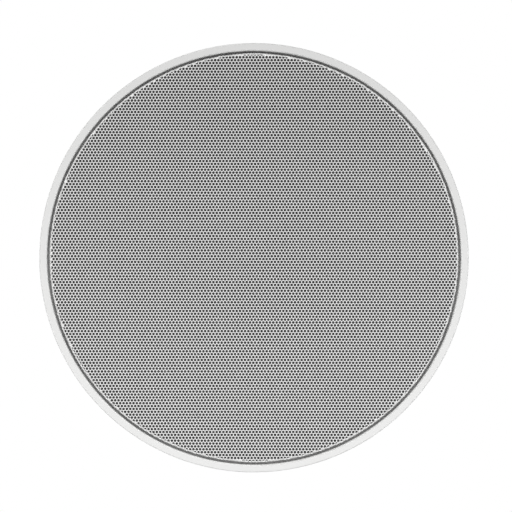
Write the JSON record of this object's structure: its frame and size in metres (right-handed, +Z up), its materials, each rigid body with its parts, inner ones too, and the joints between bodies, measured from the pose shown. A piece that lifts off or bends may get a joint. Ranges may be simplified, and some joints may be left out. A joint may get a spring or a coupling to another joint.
{
  "type": "in-ceiling speaker",
  "caption": "Round in-ceiling loudspeaker with a flush perforated grille, a coaxial woofer and tweeter, swing-out clamps and spring wire terminals.",
  "frame": {"origin": "on the speaker's axis, in the plane where the back of the flange meets the ceiling", "axes": "+Z up into the ceiling void, away from the grille; -Y towards the wire terminals"},
  "size_m": [0.24, 0.24, 0.0935],
  "materials": {
    "frame_plastic": "white moulded plastic, satin",
    "grille_paint": "white powder coat on perforated steel",
    "scrim_cloth": "thin black acoustic cloth",
    "nickel_plate": "nickel plated magnet",
    "magnet_rubber": "dark grey flexible magnetic strip",
    "basket_paint": "black paint on pressed steel",
    "gasket_foam": "black foam",
    "surround_rubber": "black rubber",
    "cone_plastic": "dark filled polypropylene",
    "former_foil": "aluminium foil tube",
    "copper_wire": "enamelled copper wire",
    "spider_cloth": "varnished cotton",
    "zinc_steel": "zinc plated steel",
    "black_steel": "black oxide steel",
    "ferrite": "ground ferrite",
    "post_aluminium": "turned aluminium",
    "black_plastic": "black moulded plastic",
    "dome_silk": "doped silk",
    "board_laminate": "green solder mask on laminate",
    "capacitor_film": "yellow film wrap",
    "resistor_ceramic": "white cement",
    "red_plastic": "red moulded plastic",
    "button_black_plastic": "black moulded plastic",
    "spring_steel": "plated spring strip",
    "bush_brass": "turned brass",
    "dog_plastic": "black glass-filled nylon"
  },
  "bodies": {
    "frame": {"bezel_frame": "frame_plastic", "mounting_can": "frame_plastic", "grille": "grille_paint", "grille_scrim": "scrim_cloth", "magnet_strip": "magnet_rubber", "basket": "basket_paint", "woofer_gasket": "gasket_foam", "surround": "surround_rubber", "spider": "spider_cloth", "top_plate": "zinc_steel", "woofer_magnet": "ferrite", "pole_yoke": "zinc_steel", "woofer_screws": "black_steel", "tweeter_post": "post_aluminium", "post_nut": "zinc_steel", "tweeter_housing": "black_plastic", "tweeter_yoke": "zinc_steel", "tweeter_magnet": "nickel_plate", "tweeter_pole_plate": "zinc_steel", "tweeter_coil": "copper_wire", "tweeter_dome": "dome_silk", "tweeter_face_ring": "black_plastic", "crossover_board": "board_laminate", "inductor_bobbin": "black_plastic", "inductor_winding": "copper_wire", "capacitor": "capacitor_film", "resistor": "resistor_ceramic", "terminal_block": "black_plastic", "contact_spring_red": "spring_steel", "contact_spring_black": "spring_steel"},
    "screw_1": {"clamp_screw_1": "zinc_steel"},
    "bush_1": {"clamp_bush_1": "bush_brass"},
    "dog_1": {"clamp_dog_1": "dog_plastic"},
    "screw_2": {"clamp_screw_2": "zinc_steel"},
    "bush_2": {"clamp_bush_2": "bush_brass"},
    "dog_2": {"clamp_dog_2": "dog_plastic"},
    "screw_3": {"clamp_screw_3": "zinc_steel"},
    "bush_3": {"clamp_bush_3": "bush_brass"},
    "dog_3": {"clamp_dog_3": "dog_plastic"},
    "screw_4": {"clamp_screw_4": "zinc_steel"},
    "bush_4": {"clamp_bush_4": "bush_brass"},
    "dog_4": {"clamp_dog_4": "dog_plastic"},
    "diaphragm": {"cone": "cone_plastic", "voice_coil_former": "former_foil", "voice_coil": "copper_wire"},
    "red_push": {"button_red": "red_plastic"},
    "black_push": {"button_black": "button_black_plastic"}
  },
  "joints": [
    {"name": "clamp_1_travel", "type": "slide", "parent": "frame", "child": "bush_1", "axis": [0, 0, 1], "range_m": [-0.0262, 0]},
    {"name": "clamp_1_swing", "type": "hinge", "parent": "bush_1", "child": "dog_1", "pos_m": [0.06788, 0.06788, 0.03], "axis": [0, 0, 1], "range_deg": [0, 90]},
    {"name": "clamp_1_screw_turn", "type": "hinge", "parent": "frame", "child": "screw_1", "pos_m": [0.06788, 0.06788, 0.03], "axis": [0, 0, 1], "range_deg": [0, 6738.1]},
    {"name": "clamp_2_travel", "type": "slide", "parent": "frame", "child": "bush_2", "axis": [0, 0, 1], "range_m": [-0.0262, 0]},
    {"name": "clamp_2_swing", "type": "hinge", "parent": "bush_2", "child": "dog_2", "pos_m": [-0.06788, 0.06788, 0.03], "axis": [0, 0, 1], "range_deg": [0, 90]},
    {"name": "clamp_2_screw_turn", "type": "hinge", "parent": "frame", "child": "screw_2", "pos_m": [-0.06788, 0.06788, 0.03], "axis": [0, 0, 1], "range_deg": [0, 6738.1]},
    {"name": "clamp_3_travel", "type": "slide", "parent": "frame", "child": "bush_3", "axis": [0, 0, 1], "range_m": [-0.0262, 0]},
    {"name": "clamp_3_swing", "type": "hinge", "parent": "bush_3", "child": "dog_3", "pos_m": [-0.06788, -0.06788, 0.03], "axis": [0, 0, 1], "range_deg": [0, 90]},
    {"name": "clamp_3_screw_turn", "type": "hinge", "parent": "frame", "child": "screw_3", "pos_m": [-0.06788, -0.06788, 0.03], "axis": [0, 0, 1], "range_deg": [0, 6738.1]},
    {"name": "clamp_4_travel", "type": "slide", "parent": "frame", "child": "bush_4", "axis": [0, 0, 1], "range_m": [-0.0262, 0]},
    {"name": "clamp_4_swing", "type": "hinge", "parent": "bush_4", "child": "dog_4", "pos_m": [0.06788, -0.06788, 0.03], "axis": [0, 0, 1], "range_deg": [0, 90]},
    {"name": "clamp_4_screw_turn", "type": "hinge", "parent": "frame", "child": "screw_4", "pos_m": [0.06788, -0.06788, 0.03], "axis": [0, 0, 1], "range_deg": [0, 6738.1]},
    {"name": "cone_travel", "type": "slide", "parent": "frame", "child": "diaphragm", "axis": [0, 0, 1], "range_m": [-0.004, 0.004], "stiffness_N_per_m": 1000, "deforming": ["surround", "spider"]},
    {"name": "red_button_press", "type": "slide", "parent": "frame", "child": "red_push", "axis": [0, 0, 1], "range_m": [-0.0025, 0], "stiffness_N_per_m": 300, "springref_m": 0.006, "deforming": ["contact_spring_red"]},
    {"name": "black_button_press", "type": "slide", "parent": "frame", "child": "black_push", "axis": [0, 0, 1], "range_m": [-0.0025, 0], "stiffness_N_per_m": 300, "springref_m": 0.006, "deforming": ["contact_spring_black"]}
  ],
  "couplings": [
    {"joint": "clamp_1_screw_turn", "follows": "clamp_1_travel", "rad_per_m": -4488},
    {"joint": "clamp_2_screw_turn", "follows": "clamp_2_travel", "rad_per_m": -4488},
    {"joint": "clamp_3_screw_turn", "follows": "clamp_3_travel", "rad_per_m": -4488},
    {"joint": "clamp_4_screw_turn", "follows": "clamp_4_travel", "rad_per_m": -4488}
  ]
}
